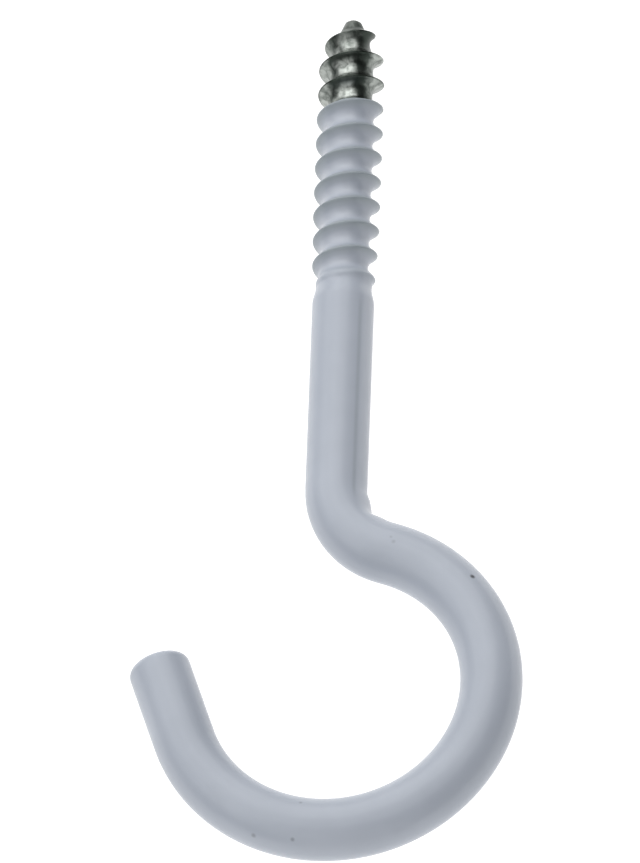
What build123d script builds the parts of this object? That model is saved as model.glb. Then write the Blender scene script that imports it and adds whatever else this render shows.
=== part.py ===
from build123d import *
from math import atan, cos, degrees, radians, sin, tan
import os

# Screw hook: one steel wire, bent to an open hook at one end and rolled to a wood-screw thread at
# the other. A bonded plastic coat covers all but the tip, and its edge is a small step in the form.
# Millimetres and degrees. The hook lies flat, as it comes to rest on a table: the wire's
# centreline is in the XY plane, the screw points along +Y and +Z is up. The origin is on the
# screw's axis, at the shoulder where the full shank begins.

# Coated wire
steel_wire_diameter = 4.70
coat_thickness = 0.33

# Centreline from the shoulder to the free end
shank_length = 18.0
s_bend_radius = 6.6
s_bend_angle = 72.3
hook_radius = 13.6
hook_angle = 233.0
free_end_length = 7.85
free_end_rounding = 0.8

# Thread, right-handed, as rolled into the steel
screw_length = 27.9
thread_pitch = 2.4
thread_diameter = 5.70
root_diameter = 3.70
crest_land = 0.12
flank_angle = 30.0
first_crest_depth = 3.79

# Coat over the thread: thick in the root and thin on the crest
bare_tip_length = 8.7
root_coat_thickness = 0.17
crest_coat_thickness = 0.05
coat_crest_land = 0.30

# Tip: the crest and the core taper on their own cones, and the ridge breaks off before the blunt end
crest_taper_length = 4.0
core_taper_length = 4.2
last_crest_depth = 0.9
last_crest_diameter = 3.7
tip_diameter = 1.4

# Neck of the coated wire between the shoulder and the thread, which runs out on a cone
neck_diameter = 4.84
neck_bottom = 1.1
neck_top = 1.9
root_bottom = 3.1
run_out_bottom = 2.0
run_out_angle = 14.2

# How deep a ridge's foot stands in its core, so that the two are one solid
ridge_sink = 0.25

wire_radius = steel_wire_diameter / 2 + coat_thickness
neck_radius = neck_diameter / 2
root_radius = root_diameter / 2
thread_radius = thread_diameter / 2
coated_root_radius = root_radius + root_coat_thickness
coated_thread_radius = thread_radius + crest_coat_thickness
coat_edge = screw_length - bare_tip_length
first_crest = screw_length - first_crest_depth
clear_of_thread = coated_thread_radius + coat_thickness
run_out_length = (clear_of_thread - neck_radius) / tan(radians(run_out_angle))


def crest_angle(height):
    """Angle from +Z towards +X at which the thread's crest passes a height."""
    return 90 + 360 * (height - first_crest) / thread_pitch


def crest_helix(bottom, top, bottom_radius, top_radius):
    """One stretch of the crest's line, on a cylinder or a cone."""
    cone_angle = degrees(atan((top_radius - bottom_radius) / (top - bottom)))
    helix = Helix(
        pitch=thread_pitch,
        height=top - bottom,
        radius=bottom_radius,
        center=(0, bottom, 0),
        direction=(0, 1, 0),
        cone_angle=cone_angle,
        mode=Mode.PRIVATE,
    )
    return helix.rotate(Axis.Y, crest_angle(bottom))


def ridge(bottom, foot_radius, crest_radius, land, stretches):
    """Sweeps the thread's ridge along stretches of its crest into the part that is being built."""
    start = radians(crest_angle(bottom))
    outward = Vector(sin(start), 0, cos(start))
    half_land = land / 2
    half_foot = half_land + (crest_radius - foot_radius) * tan(radians(flank_angle))
    section_plane = Plane((0, bottom, 0), x_dir=outward, z_dir=outward.cross(Vector(0, 1, 0)))
    with BuildSketch(section_plane) as section:
        with BuildLine():
            Polyline(
                (foot_radius, -half_foot),
                (crest_radius, -half_land),
                (crest_radius, half_land),
                (foot_radius, half_foot),
                close=True,
            )
        make_face()
    sweep(
        sections=section.sketch,
        path=Wire(stretches),
        is_frenet=True,
        transition=Transition.TRANSFORMED,
    )


with BuildPart() as coated_thread:
    with BuildSketch():
        with Locations((0, coat_edge / 2)):
            Rectangle(
                coated_root_radius,
                coat_edge + 2 * thread_pitch,
                align=(Align.MIN, Align.CENTER),
            )
    revolve(axis=Axis.Y)
    ridge_bottom = run_out_bottom - thread_pitch / 2
    ridge_top = coat_edge + thread_pitch / 2
    crest = crest_helix(ridge_bottom, ridge_top, coated_thread_radius, coated_thread_radius)
    ridge(
        ridge_bottom,
        coated_root_radius - ridge_sink,
        coated_thread_radius,
        coat_crest_land,
        [crest],
    )
    with BuildSketch():
        with BuildLine():
            Polyline(
                (0, run_out_bottom),
                (neck_radius, run_out_bottom),
                (clear_of_thread, run_out_bottom + run_out_length),
                (clear_of_thread, coat_edge),
                (0, coat_edge),
                close=True,
            )
        make_face()
    revolve(axis=Axis.Y, mode=Mode.INTERSECT)

with BuildPart() as bare_screw:
    with BuildSketch():
        with BuildLine():
            Polyline(
                (0, coat_edge - thread_pitch),
                (root_radius, coat_edge - thread_pitch),
                (root_radius, screw_length - core_taper_length),
                (tip_diameter / 2, screw_length),
                (0, screw_length),
                close=True,
            )
        make_face()
    revolve(axis=Axis.Y)
    ridge_bottom = coat_edge - thread_pitch / 2
    taper_bottom = screw_length - crest_taper_length
    ridge_top = screw_length - last_crest_depth
    parallel_crest = crest_helix(ridge_bottom, taper_bottom, thread_radius, thread_radius)
    tapered_crest = crest_helix(taper_bottom, ridge_top, thread_radius, last_crest_diameter / 2)
    ridge(
        ridge_bottom,
        root_radius - ridge_sink,
        thread_radius,
        crest_land,
        [parallel_crest, tapered_crest],
    )

with BuildPart() as screw_hook:
    with BuildSketch():
        with BuildLine():
            Polyline(
                (0, 0),
                (wire_radius, 0),
                (neck_radius, neck_bottom),
                (neck_radius, neck_top),
                (coated_root_radius, root_bottom),
                (0, root_bottom),
                close=True,
            )
        make_face()
    revolve(axis=Axis.Y)
    add(coated_thread)
    add(bare_screw)
    with BuildLine() as centreline:
        shank = Line((0, 0), (0, -shank_length))
        s_bend = JernArc(shank @ 1, shank % 1, s_bend_radius, s_bend_angle)
        bend = JernArc(s_bend @ 1, s_bend % 1, hook_radius, -hook_angle)
        Line(bend @ 1, bend @ 1 + (bend % 1) * free_end_length)
    with BuildSketch(Plane.XZ) as wire_section:
        Circle(wire_radius)
    sweep(path=centreline.line)
    free_end = screw_hook.faces().filter_by(GeomType.PLANE).sort_by_distance(centreline.line @ 1)[0]
    fillet(free_end.edges(), radius=free_end_rounding)

screw_hook.part.label = "screw_hook"
os.makedirs("parts", exist_ok=True)
export_step(screw_hook.part, "parts/screw_hook.step")
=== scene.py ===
from math import cos, exp, pi, radians, sin

import bpy
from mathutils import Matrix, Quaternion, Vector


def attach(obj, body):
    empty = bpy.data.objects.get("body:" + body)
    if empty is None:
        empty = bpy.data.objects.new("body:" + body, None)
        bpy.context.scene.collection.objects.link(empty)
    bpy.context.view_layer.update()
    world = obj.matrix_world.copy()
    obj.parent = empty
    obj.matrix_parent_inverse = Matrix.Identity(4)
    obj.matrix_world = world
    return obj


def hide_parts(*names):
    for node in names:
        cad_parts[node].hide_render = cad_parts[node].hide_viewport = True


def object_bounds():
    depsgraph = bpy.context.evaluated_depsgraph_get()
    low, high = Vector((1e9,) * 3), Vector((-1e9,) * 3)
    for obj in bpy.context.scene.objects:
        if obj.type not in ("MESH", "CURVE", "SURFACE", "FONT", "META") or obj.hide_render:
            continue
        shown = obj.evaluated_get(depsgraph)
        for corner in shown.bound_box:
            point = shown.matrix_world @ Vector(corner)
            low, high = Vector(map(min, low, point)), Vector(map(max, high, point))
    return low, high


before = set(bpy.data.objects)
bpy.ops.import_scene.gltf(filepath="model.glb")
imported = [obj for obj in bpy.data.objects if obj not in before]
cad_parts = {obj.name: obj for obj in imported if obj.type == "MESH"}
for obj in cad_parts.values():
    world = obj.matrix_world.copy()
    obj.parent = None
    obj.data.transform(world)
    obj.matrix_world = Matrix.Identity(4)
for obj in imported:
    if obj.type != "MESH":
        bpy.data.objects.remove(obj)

# A plastic-coated steel screw hook that lies flat on a pale floor. Sizes and places are in
# millimetres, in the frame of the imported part: the origin is at the shoulder of the shank, +Y runs
# along the screw towards its tip and +Z is up.

cad_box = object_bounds()

MM = 0.001

# Wire and its centreline
WIRE_RADIUS = 2.68
SHANK_LENGTH = 18.0
S_BEND_RADIUS = 6.6
S_BEND_ANGLE = radians(72.3)
HOOK_RADIUS = 13.6
HOOK_ANGLE = radians(233.0)
FREE_END_LENGTH = 7.85
FREE_END_ROUNDING = 0.8

# Thread: heights are above the shoulder, depths are below the tip, and azimuths are in turns from
# +Z towards +X
SCREW_LENGTH = 27.9
PITCH = 2.4
FIRST_CREST_DEPTH = 3.79
FIRST_CREST_AZIMUTH = 0.25

# Bare screw, whose core and crest close in parabolas from the taper's depth up
CORE_RADIUS = 1.85
CREST_RADIUS = 2.85
FLANK_CURVE = 2.9
CREST_ROUNDING = 0.05
TAPER_DEPTH = 5.2
CORE_TAPER = 0.045
CREST_TAPER = 0.06
CREST_FADE_DEPTHS = (1.25, 0.75)
TIP_RADIUS = 0.45
TIP_CHAMFER = 0.2

# Coated screw, whose coat swells to the neck and then to the shoulder at the bottom
COATED_CORE_RADIUS = 2.02
COATED_CREST_RADIUS = 2.9
COATED_FLANK_CURVE = 2.4
COATED_CREST_ROUNDING = 0.12
NECK_RADIUS = 2.42
NECK_DEPTHS = (24.5, 26.1)
SHOULDER_DEPTHS = (26.3, SCREW_LENGTH)
CREST_DROP = 0.08
CREST_DROP_DEPTHS = (20.0, 23.0)
RUN_OUT_DROP = 0.9
RUN_OUT_DEPTHS = (24.4, 28.5)

# Edge of the coat: each wave has a count round the screw, a height and a phase, and the lip is
# rounded down to a share of the coat's thickness
COAT_EDGE = 19.2
EDGE_WAVES = ((1, 0.20, 0.0), (2, 0.06, 0.6), (5, 0.05, 2.1), (11, 0.03, 4.0))
LIP_LENGTH = 0.22
LIP_SHARE = 0.45

# The bare screw starts inside the coat, where its crest is tucked in a little
OVERLAP = 0.6
TUCK = 0.12

# Pucker of the coat on the inside of the S-bend: a dent, and a low swelling above it
PUCKER_PLACE = SHANK_LENGTH + 4.6
PUCKER_NARROWING = 4
DENT_DEPTH = 0.42
DENT_LENGTH = 1.0
SWELLING_HEIGHT = 0.10
SWELLING_OFFSET = -2.6
SWELLING_LENGTH = 0.8

# Mesh density
COLUMNS = 96
ROWS_PER_TURN = 30
ROW_CLEARANCE = 1e-6
RING_SPACING = 0.5
ROUNDING_STEPS = 8

WHITE = (1, 1, 1, 1)

# Noises have scales per metre, and nearly all of their grey lies in this span
NOISE_SPAN = (0.3, 0.7)

# Coat: mottled, satin and finely grained, under a thin glossy film
COAT_COLOUR = (0.418, 0.454, 0.520, 1)
COAT_SHADE = (0.395, 0.430, 0.494, 1)
COAT_MOTTLE_SCALE = 180
COAT_MOTTLE_SPAN = (0.35, 0.65)
COAT_SHEEN_SCALE = 600
COAT_ROUGHNESS = (0.38, 0.46)
COAT_GRAIN_SCALE = 900
COAT_GRAIN_DEPTH = 0.01
COAT_FILM_WEIGHT = 0.35
COAT_FILM_ROUGHNESS = 0.14

# Coat over the thread: painted light makes it paler in the roots on one side, and it is darker towards
# the crests, partly because the coat is thin there and partly as painted shade under each crest
ROOT_LIGHT_COLOUR = (0.475, 0.508, 0.570, 1)
THIN_COAT_AND_SHADE_COLOUR = (0.290, 0.328, 0.358, 1)
COATED_THREAD_HEIGHTS = (1.6, 3.0)
ROOT_LIGHT_RADII = (2.05, 2.40)
THIN_COAT_AND_SHADE_RADII = (2.20, 2.80)
ROOT_LIGHT_SIDE = (0.4, 1.3)

# Painted shade line in the coat along the shank: where it is, how wide, and where it fades at its ends
SHADE_LINE = (1.80, 0, 1.985)
SHADE_LINE_STRENGTH = 0.38
SHADE_LINE_WIDTHS = (0.06, 0.26)
SHADE_LINE_TOP = (-1.5, 0.0)
SHADE_LINE_BOTTOM = (-21.0, -19.0)

# Small blemishes of the coat: where, how wide and how strong
SPECK_COLOUR = (0.05, 0.05, 0.055, 1)
SPECK_FADE = (0.5, 1.5)
SPECKS = (
    ((12.43, -27.97, 2.19), 0.20, 0.90),
    ((5.54, -24.58, 2.68), 0.16, 0.22),
    ((5.30, -24.10, 2.68), 0.11, 0.20),
    ((-5.84, -51.85, 1.36), 0.19, 0.40),
    ((-2.39, -52.58, 1.79), 0.17, 0.40),
    ((-1.73, -49.33, 2.33), 0.14, 0.30),
)

# Zinc-plated steel: a near-black colour for painted shade and a pale colour for painted reflections
STEEL_SHADE_COLOUR = (0.040, 0.050, 0.043, 1)
STEEL_GLINT_COLOUR = (0.50, 0.53, 0.50, 1)
STEEL_SHEEN_SCALE = 1200
STEEL_ROUGHNESS = (0.28, 0.46)
STEEL_GRAIN_SCALE = 1100
STEEL_GRAIN_DEPTH = 0.03

# Painted light on the zinc, in spans that end with the brightness beyond them: a painted reflection
# along the front of the core and at the thread's sides, painted shade on the crest, and a darker tip
GLINT_FRONT = (0.45, 1.15, 0.05)
GLINT_FRONT_OFFSET = 0.30
GLINT_CORE = (2.05, 2.45, 0.10)
GLINT_SIDES = (1.40, 2.10, 0.70)
DARK_TIP = (24.4, 26.2, 0.30)
CREST_SHADE = (2.72, 2.82, 0.25)
GLINT_WOBBLE = 0.35
GLINT_WOBBLE_SCALE = 900
GLINT_WOBBLE_DETAIL = 2.0
GLINT_GRAIN = (0.35, 1.10)
GLINT_GRAIN_SCALE = 1700
GLINT_GRAIN_SPAN = (0.36, 0.62)
GLINT_GRAIN_DETAIL = 5.0
GLINT_GRAIN_DISTORTION = 0.5

# Floor: grey, with an even white glow that leaves hardly any shadow
FLOOR_SIZE = 6000.0
FLOOR_COLOUR = (0.20, 0.20, 0.20, 1)
FLOOR_ROUGHNESS = 0.9
FLOOR_GLOW = 1.05

# Camera: it looks down on the hook, and the tip of the screw stands at a given pixel
CAMERA_AZIMUTH = radians(-74)
CAMERA_ELEVATION = radians(61)
CAMERA_ROLL = radians(-16)
CAMERA_DISTANCE = 2400.0
SENSOR_SIZE = 36.0
CLIP_START = 10.0
CLIP_END = 100000.0
IMAGE_WIDTH = 640
IMAGE_HEIGHT = 863
PIXELS_PER_MM = 11.51
TIP_PIXEL = (353.7, 22.6)

# Light: soft boxes at one distance, with azimuth and elevation in degrees and power in watts
LAMP_DISTANCE = 600.0
LAMP_SIZE = 600.0
LAMPS = (
    ("top", 0, 80, 0.81),
    ("left", 180, 50, 0.67),
    ("left_front", 225, 50, 0.59),
    ("left_back", 135, 50, 0.74),
    ("left_back_low", 135, 20, 0.41),
    ("back", 90, 50, 1.04),
    ("back_low", 90, 20, 0.60),
    ("right_back", 45, 50, 0.25),
    ("front_low", 270, 20, 0.73),
)
ROOM_STRENGTH = 0.1


def smooth_step(value, start, end):
    """0 at the start, 1 at the end, smooth between them and held beyond them."""
    t = min(max((value - start) / (end - start), 0.0), 1.0)
    return t * t * (3 - 2 * t)


def direction(azimuth, elevation):
    """A unit vector. The azimuth runs from +X towards +Y."""
    level = Vector((cos(azimuth), sin(azimuth), 0)) * cos(elevation)
    return level + Vector((0, 0, sin(elevation)))


def add_object(name, data):
    """A new object in the scene."""
    thing = bpy.data.objects.new(name, data)
    bpy.context.collection.objects.link(thing)
    return thing


def make_mesh(name, points, faces, material):
    """A smooth-shaded mesh object from points in millimetres."""
    mesh = bpy.data.meshes.new(name)
    mesh.from_pydata([Vector(p) * MM for p in points], [], faces)
    mesh.validate()
    mesh.shade_smooth()
    mesh.materials.append(material)
    return add_object(name, mesh)


# Thread form

def crest_distance(height, azimuth):
    """Axial distance from the nearest crest of the thread."""
    rise = height - (SCREW_LENGTH - FIRST_CREST_DEPTH)
    turns = rise / PITCH - (azimuth - FIRST_CREST_AZIMUTH)
    return (turns - round(turns)) * PITCH


def tooth(height, azimuth, curve, rounding):
    """How far a flank has risen from the root, 0, to the crest, 1."""
    away = crest_distance(height, azimuth)
    rounded = (away * away + rounding * rounding) ** 0.5 - rounding
    return max(1 - rounded / (PITCH / 2), 0.0) ** curve


def coat_edge(azimuth):
    """Height of the coat's edge."""
    waves = sum(size * sin(2 * pi * count * azimuth + phase) for count, size, phase in EDGE_WAVES)
    return COAT_EDGE + waves


def bare_radius(height, azimuth):
    """Radius of the bare steel screw."""
    depth = SCREW_LENGTH - height
    rise = max(TAPER_DEPTH - depth, 0.0)
    core = CORE_RADIUS - CORE_TAPER * rise * rise
    crest = CREST_RADIUS - CREST_TAPER * rise * rise
    crest -= (crest - core) * smooth_step(depth, *CREST_FADE_DEPTHS)
    crest -= TUCK * smooth_step(coat_edge(azimuth) - height, 0, LIP_LENGTH)
    return core + (crest - core) * tooth(height, azimuth, FLANK_CURVE, CREST_ROUNDING)


def coated_radius(height, azimuth):
    """Radius of the coated screw, from the shoulder to the coat's edge."""
    depth = SCREW_LENGTH - height
    core = COATED_CORE_RADIUS
    core += (NECK_RADIUS - COATED_CORE_RADIUS) * smooth_step(depth, *NECK_DEPTHS)
    core += (WIRE_RADIUS - NECK_RADIUS) * smooth_step(depth, *SHOULDER_DEPTHS)
    crest = COATED_CREST_RADIUS
    crest -= CREST_DROP * smooth_step(depth, *CREST_DROP_DEPTHS)
    crest -= RUN_OUT_DROP * smooth_step(depth, *RUN_OUT_DEPTHS)
    rise = max(crest - core, 0.0)
    radius = core + rise * tooth(height, azimuth, COATED_FLANK_CURVE, COATED_CREST_ROUNDING)
    steel = bare_radius(height, azimuth)
    lip = LIP_SHARE + (1 - LIP_SHARE) * smooth_step(coat_edge(azimuth) - height, 0, LIP_LENGTH)
    return steel + (radius - steel) * lip


def thread_rows(azimuth, bottom, top):
    """Heights up one column of a threaded surface, by the number of their row on the helix."""
    row_height = PITCH / ROWS_PER_TURN
    shift = azimuth * PITCH
    first = int((bottom - shift) // row_height) + 1
    last = int((top - shift) // row_height)
    heights = {row: row * row_height + shift for row in range(first, last + 1)}
    lowest = bottom + ROW_CLEARANCE
    highest = top - ROW_CLEARANCE
    return {row: height for row, height in heights.items() if lowest < height < highest}


def thread_points(bottom, top_at, radius_at):
    """Points of a threaded surface, its two end rings, and its columns of point numbers by row."""
    points = []
    bottom_ring = []
    top_ring = []
    columns = []
    for column in range(COLUMNS):
        azimuth = column / COLUMNS
        angle = 2 * pi * azimuth
        top = top_at(azimuth)
        rows = thread_rows(azimuth, bottom, top)
        bottom_ring.append(len(points))
        columns.append({row: number for number, row in enumerate(rows, len(points) + 1)})
        for height in (bottom, *rows.values(), top):
            radius = radius_at(height, azimuth)
            points.append(Vector((radius * sin(angle), height, radius * cos(angle))))
        top_ring.append(len(points) - 1)
    return points, bottom_ring, top_ring, columns


def thread_faces(bottom_ring, top_ring, columns):
    """Faces between each column and the next, closed by a wider face at the bottom and at the top."""
    faces = []
    for column in range(COLUMNS):
        following = (column + 1) % COLUMNS
        offset = ROWS_PER_TURN if following == 0 else 0
        left = columns[column]
        right = {row - offset: number for row, number in columns[following].items()}
        shared = sorted(set(left) & set(right))
        for row in shared[:-1]:
            faces.append((left[row], right[row], right[row + 1], left[row + 1]))
        lower_left = [number for row, number in left.items() if row <= shared[0]]
        lower_right = [number for row, number in right.items() if row <= shared[0]]
        upper_left = [number for row, number in left.items() if row >= shared[-1]]
        upper_right = [number for row, number in right.items() if row >= shared[-1]]
        faces.append([bottom_ring[column], bottom_ring[following]] + lower_right + lower_left[::-1])
        faces.append(upper_left[::-1] + upper_right + [top_ring[following], top_ring[column]])
    return faces


def thread_grid(bottom, top_at, radius_at):
    """Points and faces of a threaded surface whose rows follow the helix, and its two end rings."""
    points, bottom_ring, top_ring, columns = thread_points(bottom, top_at, radius_at)
    faces = thread_faces(bottom_ring, top_ring, columns)
    return points, faces, bottom_ring, top_ring


# Rings and ends of tubes

def bridge(faces, lower, upper):
    """Quads between two rings, seen from outside with the upper one above."""
    for i in range(COLUMNS):
        j = (i + 1) % COLUMNS
        faces.append((lower[i], lower[j], upper[j], upper[i]))


def add_ring(points, centre, across, radius, inner_swelling=0.0):
    """A ring of points round a centre, from +Z towards the across direction."""
    start = len(points)
    for i in range(COLUMNS):
        angle = 2 * pi * i / COLUMNS
        swollen = radius + inner_swelling * max(sin(angle), 0.0) ** PUCKER_NARROWING
        points.append(centre + swollen * (across * sin(angle) + Vector((0, 0, cos(angle)))))
    return list(range(start, start + COLUMNS))


def close_end(points, faces, ring, centre, upper):
    """A fan over one end of a tube."""
    middle = len(points)
    points.append(centre)
    for i in range(COLUMNS):
        j = (i + 1) % COLUMNS
        faces.append((ring[i], ring[j], middle) if upper else (ring[j], ring[i], middle))


# Coated wire

def centreline():
    """Stations from just below the shoulder to the free end: distance, centre, across, heading."""
    distance = 0.0
    position = Vector((0, 0, 0))
    heading = Vector((0, -1, 0))
    stretches = (
        (SHANK_LENGTH, 0),
        (S_BEND_RADIUS * S_BEND_ANGLE, S_BEND_ANGLE),
        (HOOK_RADIUS * HOOK_ANGLE, -HOOK_ANGLE),
        (FREE_END_LENGTH - FREE_END_ROUNDING, 0),
    )
    stations = []
    for length, angle in stretches:
        count = round(length / RING_SPACING)
        half_turn = Quaternion((0, 0, 1), angle / count / 2)
        half_angle = abs(angle) / count / 2
        chord = length / count * (sin(half_angle) / half_angle if angle else 1)
        for _ in range(count):
            heading = half_turn @ heading
            position = position + heading * chord
            heading = half_turn @ heading
            distance += length / count
            across = Vector((-heading.y, heading.x, 0))
            stations.append((distance, position, across, heading))
    return stations


def pucker(distance):
    """How far the inside of the S-bend swells, at a distance along the wire from the shoulder."""
    dent_away = (distance - PUCKER_PLACE) / DENT_LENGTH
    swelling_away = (distance - PUCKER_PLACE - SWELLING_OFFSET) / SWELLING_LENGTH
    return SWELLING_HEIGHT * exp(-swelling_away ** 2) - DENT_DEPTH * exp(-dent_away ** 2)


def round_free_end(points, faces, previous, centre, across, heading):
    """The rounded rim and the flat of the free end, on from the wire's last full ring."""
    for step in range(1, ROUNDING_STEPS + 1):
        angle = pi / 2 * step / ROUNDING_STEPS
        radius = WIRE_RADIUS - FREE_END_ROUNDING * (1 - cos(angle))
        forward = FREE_END_ROUNDING * sin(angle)
        ring = add_ring(points, centre + heading * forward, across, radius)
        bridge(faces, ring, previous)
        previous = ring
    close_end(points, faces, previous, centre + heading * FREE_END_ROUNDING, False)


def make_coated_wire(material):
    """The coated thread, shank, bends and rounded free end in one closed surface."""
    points, faces, bottom, top = thread_grid(0.0, coat_edge, coated_radius)
    close_end(points, faces, top, Vector((0, COAT_EDGE - LIP_LENGTH, 0)), True)
    previous = bottom
    for distance, centre, across, heading in centreline():
        ring = add_ring(points, centre, across, WIRE_RADIUS, pucker(distance))
        bridge(faces, ring, previous)
        previous = ring
    round_free_end(points, faces, previous, centre, across, heading)
    return make_mesh("coated_wire", points, faces, material)


# Bare tip

def make_bare_tip(material):
    """The bare steel screw, from inside the coat's edge to the blunt tip."""
    bottom_height = COAT_EDGE - OVERLAP
    top_height = SCREW_LENGTH - TIP_CHAMFER
    points, faces, bottom, top = thread_grid(bottom_height, lambda azimuth: top_height, bare_radius)
    tip = Vector((0, SCREW_LENGTH, 0))
    ring = add_ring(points, tip, Vector((1, 0, 0)), TIP_RADIUS)
    bridge(faces, top, ring)
    close_end(points, faces, ring, tip, True)
    close_end(points, faces, bottom, Vector((0, bottom_height, 0)), False)
    return make_mesh("bare_tip", points, faces, material)


# Materials

class Nodes:
    """Short ways to add and link the shader nodes of one material."""

    # Numbers of the mixed colours' sockets, whose names aren't unique
    MIX_FIRST = 6
    MIX_SECOND = 7
    MIX_RESULT = 2

    def __init__(self, name):
        self.material = bpy.data.materials.new(name)
        self.material.use_nodes = True
        self.tree = self.material.node_tree
        self.shader = self.tree.nodes["Principled BSDF"]

    def add(self, kind, inputs, **settings):
        """A node with its plain settings, and values or links for its inputs."""
        node = self.tree.nodes.new(kind)
        for key, value in settings.items():
            setattr(node, key, value)
        for key, value in inputs.items():
            self.put(node.inputs[key], value)
        return node

    def put(self, socket, value):
        """Links an output to a socket, or sets the socket's value."""
        if isinstance(value, bpy.types.NodeSocket):
            self.tree.links.new(value, socket)
        else:
            socket.default_value = value

    def place(self):
        """Coordinates on the piece in metres."""
        return self.add("ShaderNodeTexCoord", {}).outputs["Object"]

    def flat_place(self):
        """Coordinates on the piece in metres, with the one along the screw made 0."""
        inputs = {0: self.place(), 1: (1, 0, 1)}
        return self.add("ShaderNodeVectorMath", inputs, operation="MULTIPLY").outputs["Vector"]

    def axes(self):
        """The x, y and z coordinates on the piece in metres."""
        return self.add("ShaderNodeSeparateXYZ", {"Vector": self.place()}).outputs

    def distance(self, place, point):
        """Distance of a place from a point in millimetres."""
        inputs = {0: place, 1: tuple(c * MM for c in point)}
        return self.add("ShaderNodeVectorMath", inputs, operation="DISTANCE").outputs["Value"]

    def radius(self):
        """Distance from the screw's axis."""
        return self.distance(self.flat_place(), (0, 0, 0))

    def noise(self, scale, detail=3.0, distortion=0.0):
        """A grey noise."""
        inputs = {"Vector": self.place(), "Scale": scale, "Detail": detail, "Distortion": distortion}
        return self.add("ShaderNodeTexNoise", inputs).outputs["Fac"]

    def remap(self, value, low, high, to_low, to_high):
        """Maps a value from one range to another, held at the ends."""
        inputs = {
            "Value": value,
            "From Min": low,
            "From Max": high,
            "To Min": to_low,
            "To Max": to_high,
        }
        return self.add("ShaderNodeMapRange", inputs).outputs["Result"]

    def rise(self, value, start, end, beyond=1.0):
        """0 up to a span in millimetres, and rising over it to the value beyond."""
        return self.remap(value, start * MM, end * MM, 0.0, beyond)

    def fall(self, value, start, end, beyond=0.0, before=1.0):
        """Falls over a span in millimetres, from the value before it to the value beyond."""
        return self.remap(value, start * MM, end * MM, before, beyond)

    def math(self, operation, first, second=0.0):
        """One operation on one or two values."""
        return self.add("ShaderNodeMath", {0: first, 1: second}, operation=operation).outputs["Value"]

    def product(self, first, *others):
        """All the values multiplied together."""
        for other in others:
            first = self.math("MULTIPLY", first, other)
        return first

    def mix(self, factor, first, second):
        """A colour between the first and the second."""
        inputs = {"Factor": factor, self.MIX_FIRST: first, self.MIX_SECOND: second}
        return self.add("ShaderNodeMix", inputs, data_type="RGBA").outputs[self.MIX_RESULT]

    def bump(self, height, depth):
        """A normal that is bumped by a height of 0 to 1 over a depth in millimetres."""
        return self.add("ShaderNodeBump", {"Height": height, "Distance": depth * MM}).outputs["Normal"]

    def finish(self, colour, sheen_scale, roughness, grain_scale, grain_depth):
        """Gives the shader a colour, an uneven roughness and a fine grain."""
        sheen = self.remap(self.noise(sheen_scale), *NOISE_SPAN, *roughness)
        self.put(self.shader.inputs["Base Color"], colour)
        self.put(self.shader.inputs["Roughness"], sheen)
        self.put(self.shader.inputs["Normal"], self.bump(self.noise(grain_scale), grain_depth))


def coat_over_thread(nodes, colour):
    """The coat's colour over the thread: painted light in the roots on one side, and darker crests,
    partly thin coat and partly painted shade.
    """
    on_thread = nodes.rise(nodes.axes()["Y"], *COATED_THREAD_HEIGHTS)
    root_light = nodes.fall(nodes.radius(), *ROOT_LIGHT_RADII)
    thin = nodes.rise(nodes.radius(), *THIN_COAT_AND_SHADE_RADII)
    lit_side = nodes.fall(nodes.axes()["X"], *ROOT_LIGHT_SIDE)
    # Painted light: the roots on one side are made paler, lifting their shade
    colour = nodes.mix(nodes.product(on_thread, root_light, lit_side), colour, ROOT_LIGHT_COLOUR)
    # Darker towards the crests: partly a thin coat, partly painted shade under each crest
    return nodes.mix(nodes.product(on_thread, thin), colour, THIN_COAT_AND_SHADE_COLOUR)


def painted_shade_line(nodes):
    """The strength of the painted shade line, which runs from the shoulder to the S-bend."""
    away = nodes.distance(nodes.flat_place(), SHADE_LINE)
    line = nodes.fall(away, *SHADE_LINE_WIDTHS, before=SHADE_LINE_STRENGTH)
    below_shoulder = nodes.fall(nodes.axes()["Y"], *SHADE_LINE_TOP)
    above_bend = nodes.rise(nodes.axes()["Y"], *SHADE_LINE_BOTTOM)
    return nodes.product(below_shoulder, above_bend, line)


def add_specks(nodes, colour):
    """The colour with the coat's small blemishes in it."""
    for centre, radius, strength in SPECKS:
        away = nodes.distance(nodes.place(), centre)
        start, end = (radius * share for share in SPECK_FADE)
        colour = nodes.mix(nodes.fall(away, start, end, before=strength), colour, SPECK_COLOUR)
    return colour


def plastic_coat():
    """Pale blue-grey plastic, satin, with a faint mottle, painted light and shade over the thread, a
    painted shade line along the shank and a few specks.
    """
    nodes = Nodes("plastic_coat")
    mottle = nodes.remap(nodes.noise(COAT_MOTTLE_SCALE), *COAT_MOTTLE_SPAN, 0.0, 1.0)
    colour = nodes.mix(mottle, COAT_SHADE, COAT_COLOUR)
    colour = coat_over_thread(nodes, colour)
    # A narrow line of painted shade along one side of the shank
    colour = nodes.mix(painted_shade_line(nodes), colour, THIN_COAT_AND_SHADE_COLOUR)
    colour = add_specks(nodes, colour)
    nodes.finish(colour, COAT_SHEEN_SCALE, COAT_ROUGHNESS, COAT_GRAIN_SCALE, COAT_GRAIN_DEPTH)
    nodes.shader.inputs["Coat Weight"].default_value = COAT_FILM_WEIGHT
    nodes.shader.inputs["Coat Roughness"].default_value = COAT_FILM_ROUGHNESS
    return nodes.material


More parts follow.
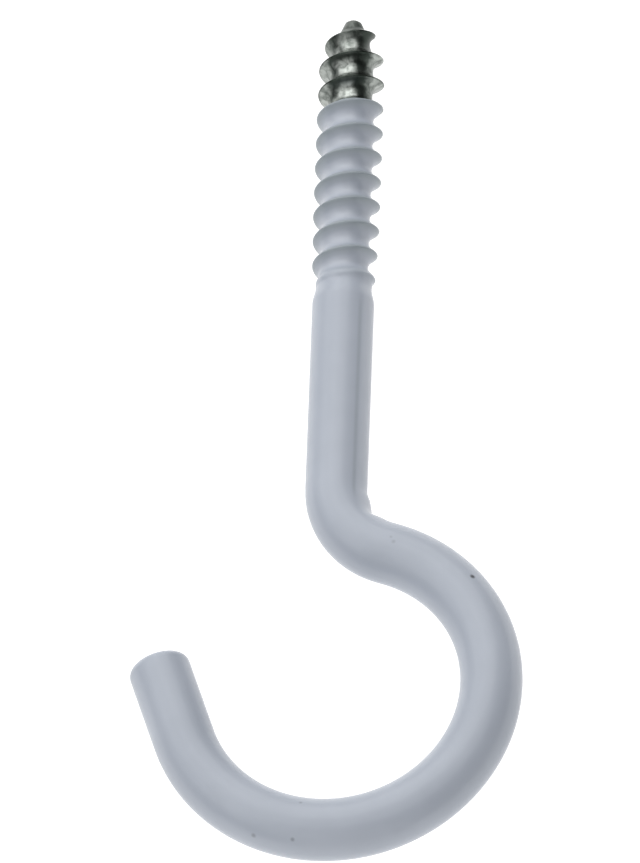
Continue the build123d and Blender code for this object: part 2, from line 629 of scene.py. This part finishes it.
def painted_glint(nodes):
    """How bright the zinc is painted: a painted reflection along the front of the core and at the
    thread's sides, painted shade on the crest, and darker towards the tip.
    """
    wobble = nodes.noise(GLINT_WOBBLE_SCALE, GLINT_WOBBLE_DETAIL)
    wobble = nodes.remap(wobble, *NOISE_SPAN, -GLINT_WOBBLE * MM, GLINT_WOBBLE * MM)
    x = nodes.math("ADD", nodes.axes()["X"], wobble)
    # Painted reflection in a stripe down the front of the core
    off_front = nodes.math("ABSOLUTE", nodes.math("ADD", x, GLINT_FRONT_OFFSET * MM))
    front = nodes.fall(off_front, *GLINT_FRONT)
    core = nodes.fall(nodes.radius(), *GLINT_CORE)
    # Painted reflection at the thread's sides, near the outline
    sides = nodes.rise(nodes.math("ABSOLUTE", x), *GLINT_SIDES)
    # Darker towards the tip
    tip = nodes.fall(nodes.axes()["Y"], *DARK_TIP)
    # Painted shade along the crest
    crest = nodes.fall(nodes.radius(), *CREST_SHADE)
    grain = nodes.noise(GLINT_GRAIN_SCALE, GLINT_GRAIN_DETAIL, GLINT_GRAIN_DISTORTION)
    grain = nodes.remap(grain, *GLINT_GRAIN_SPAN, *GLINT_GRAIN)
    glint = nodes.math("MAXIMUM", nodes.product(front, core), sides)
    return nodes.product(glint, tip, crest, grain)


def zinc_steel():
    """Zinc-plated steel, painted near black as shade and pale where a reflection is painted on."""
    nodes = Nodes("zinc_steel")
    # The steel's colour runs from painted shade to painted reflection
    colour = nodes.mix(painted_glint(nodes), STEEL_SHADE_COLOUR, STEEL_GLINT_COLOUR)
    nodes.finish(colour, STEEL_SHEEN_SCALE, STEEL_ROUGHNESS, STEEL_GRAIN_SCALE, STEEL_GRAIN_DEPTH)
    nodes.shader.inputs["Metallic"].default_value = 1.0
    return nodes.material


def floor_paint():
    """Grey paint with an even white glow."""
    nodes = Nodes("floor_paint")
    nodes.shader.inputs["Base Color"].default_value = FLOOR_COLOUR
    nodes.shader.inputs["Roughness"].default_value = FLOOR_ROUGHNESS
    nodes.shader.inputs["Emission Color"].default_value = WHITE
    nodes.shader.inputs["Emission Strength"].default_value = FLOOR_GLOW
    return nodes.material


# Camera and light

def set_up(name, data, location, rotation):
    """A new object at a place in metres."""
    thing = add_object(name, data)
    thing.location = location
    thing.rotation_mode = "QUATERNION"
    thing.rotation_quaternion = rotation
    return thing


def make_camera():
    """The camera, placed so that the tip of the screw stands at its pixel."""
    back = direction(CAMERA_AZIMUTH, CAMERA_ELEVATION)
    turn = (-back).to_track_quat("-Z", "Y") @ Quaternion((0, 0, 1), CAMERA_ROLL)
    right = turn @ Vector((1, 0, 0))
    up = turn @ Vector((0, 1, 0))
    aside = (TIP_PIXEL[0] - IMAGE_WIDTH / 2) / PIXELS_PER_MM
    above = (IMAGE_HEIGHT / 2 - TIP_PIXEL[1]) / PIXELS_PER_MM
    target = Vector((0, SCREW_LENGTH, 0)) - right * aside - up * above
    data = bpy.data.cameras.new("camera")
    data.sensor_width = SENSOR_SIZE
    data.lens = SENSOR_SIZE * CAMERA_DISTANCE / (IMAGE_HEIGHT / PIXELS_PER_MM)
    data.clip_start = CLIP_START * MM
    data.clip_end = CLIP_END * MM
    return set_up("camera", data, (target + back * CAMERA_DISTANCE) * MM, turn)


def soft_box(name, azimuth, elevation, power):
    """A round soft box that faces the hook."""
    data = bpy.data.lights.new(name, "AREA")
    data.shape = "DISK"
    data.energy = power
    data.size = LAMP_SIZE * MM
    outward = direction(radians(azimuth), radians(elevation))
    set_up(name, data, outward * (LAMP_DISTANCE * MM), (-outward).to_track_quat("-Z", "Y"))


def white_room():
    """An even white light from all round."""
    world = bpy.data.worlds.new("studio")
    world.use_nodes = True
    background = world.node_tree.nodes["Background"]
    background.inputs["Color"].default_value = WHITE
    background.inputs["Strength"].default_value = ROOM_STRENGTH
    return world


# The part

coated_wire = make_coated_wire(plastic_coat())
bare_tip = make_bare_tip(zinc_steel())
for piece, slot in ((coated_wire, "coating"), (bare_tip, "bare_steel")):
    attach(piece, "root")
    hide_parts("screw_hook")

# The scene round it

bpy.ops.mesh.primitive_plane_add(size=FLOOR_SIZE * MM, location=(0, 0, cad_box[0].z))
floor = bpy.context.object
floor.name = "floor"
floor.data.materials.append(floor_paint())

bpy.context.scene.camera = make_camera()
for lamp in LAMPS:
    soft_box(*lamp)
bpy.context.scene.world = white_room()
bpy.context.scene.view_settings.view_transform = "Standard"
